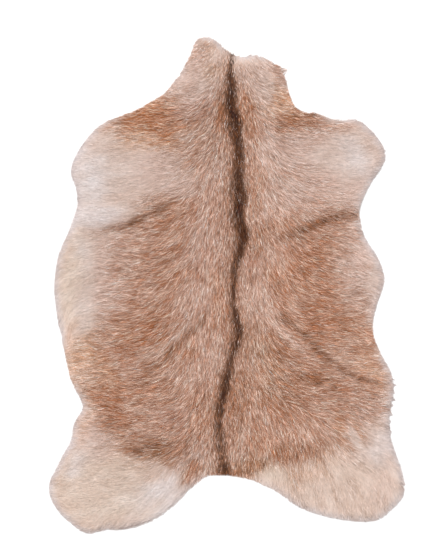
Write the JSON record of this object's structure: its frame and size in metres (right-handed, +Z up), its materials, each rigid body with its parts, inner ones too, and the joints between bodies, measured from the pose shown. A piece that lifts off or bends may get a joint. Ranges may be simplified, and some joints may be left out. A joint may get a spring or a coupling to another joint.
{
  "type": "goatskin rug",
  "caption": "Hair-on goatskin rug in its natural outline with neck, shoulders and hind legs, lying flat with soft folds and a dark line down the back",
  "frame": {"origin": "middle of the hide's box, on the surface that it lies on", "axes": "+Y towards the neck, +X towards the hide's right edge as seen from above, +Z up from the skin through the hair"},
  "size_m": [0.674, 0.944, 0.0149],
  "materials": {
    "goatskin": "natural short lying hair, light brown on the back and cream at the legs and edges, over suede-finished leather"
  },
  "bodies": {
    "root": {"goatskin": "goatskin"}
  },
  "joints": []
}
